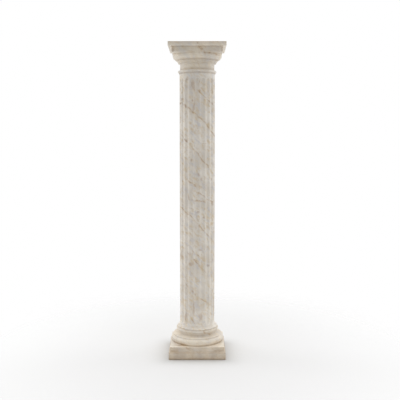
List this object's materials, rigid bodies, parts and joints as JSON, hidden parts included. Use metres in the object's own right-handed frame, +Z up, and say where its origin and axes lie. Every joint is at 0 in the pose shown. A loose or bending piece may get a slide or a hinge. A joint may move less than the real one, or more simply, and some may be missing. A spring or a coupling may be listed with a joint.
{
  "type": "fluted stone column",
  "caption": "Free-standing marble column: square stepped plinth with Attic base, fluted shaft, and round capital under a square abacus.",
  "frame": {"origin": "middle of the plinth's underside, on the ground", "axes": "+Z up along the column's axis, -Y out of the front face, +X to the right seen from the front"},
  "size_m": [0.544, 0.544, 3],
  "materials": {
    "base_marble": "honed marble, cream with ochre and brown veins",
    "shaft_marble": "honed marble, cream with ochre and brown veins",
    "capital_marble": "honed marble, cream with ochre and brown veins"
  },
  "bodies": {
    "root": {"base": "base_marble", "shaft": "shaft_marble", "capital": "capital_marble"}
  },
  "joints": []
}
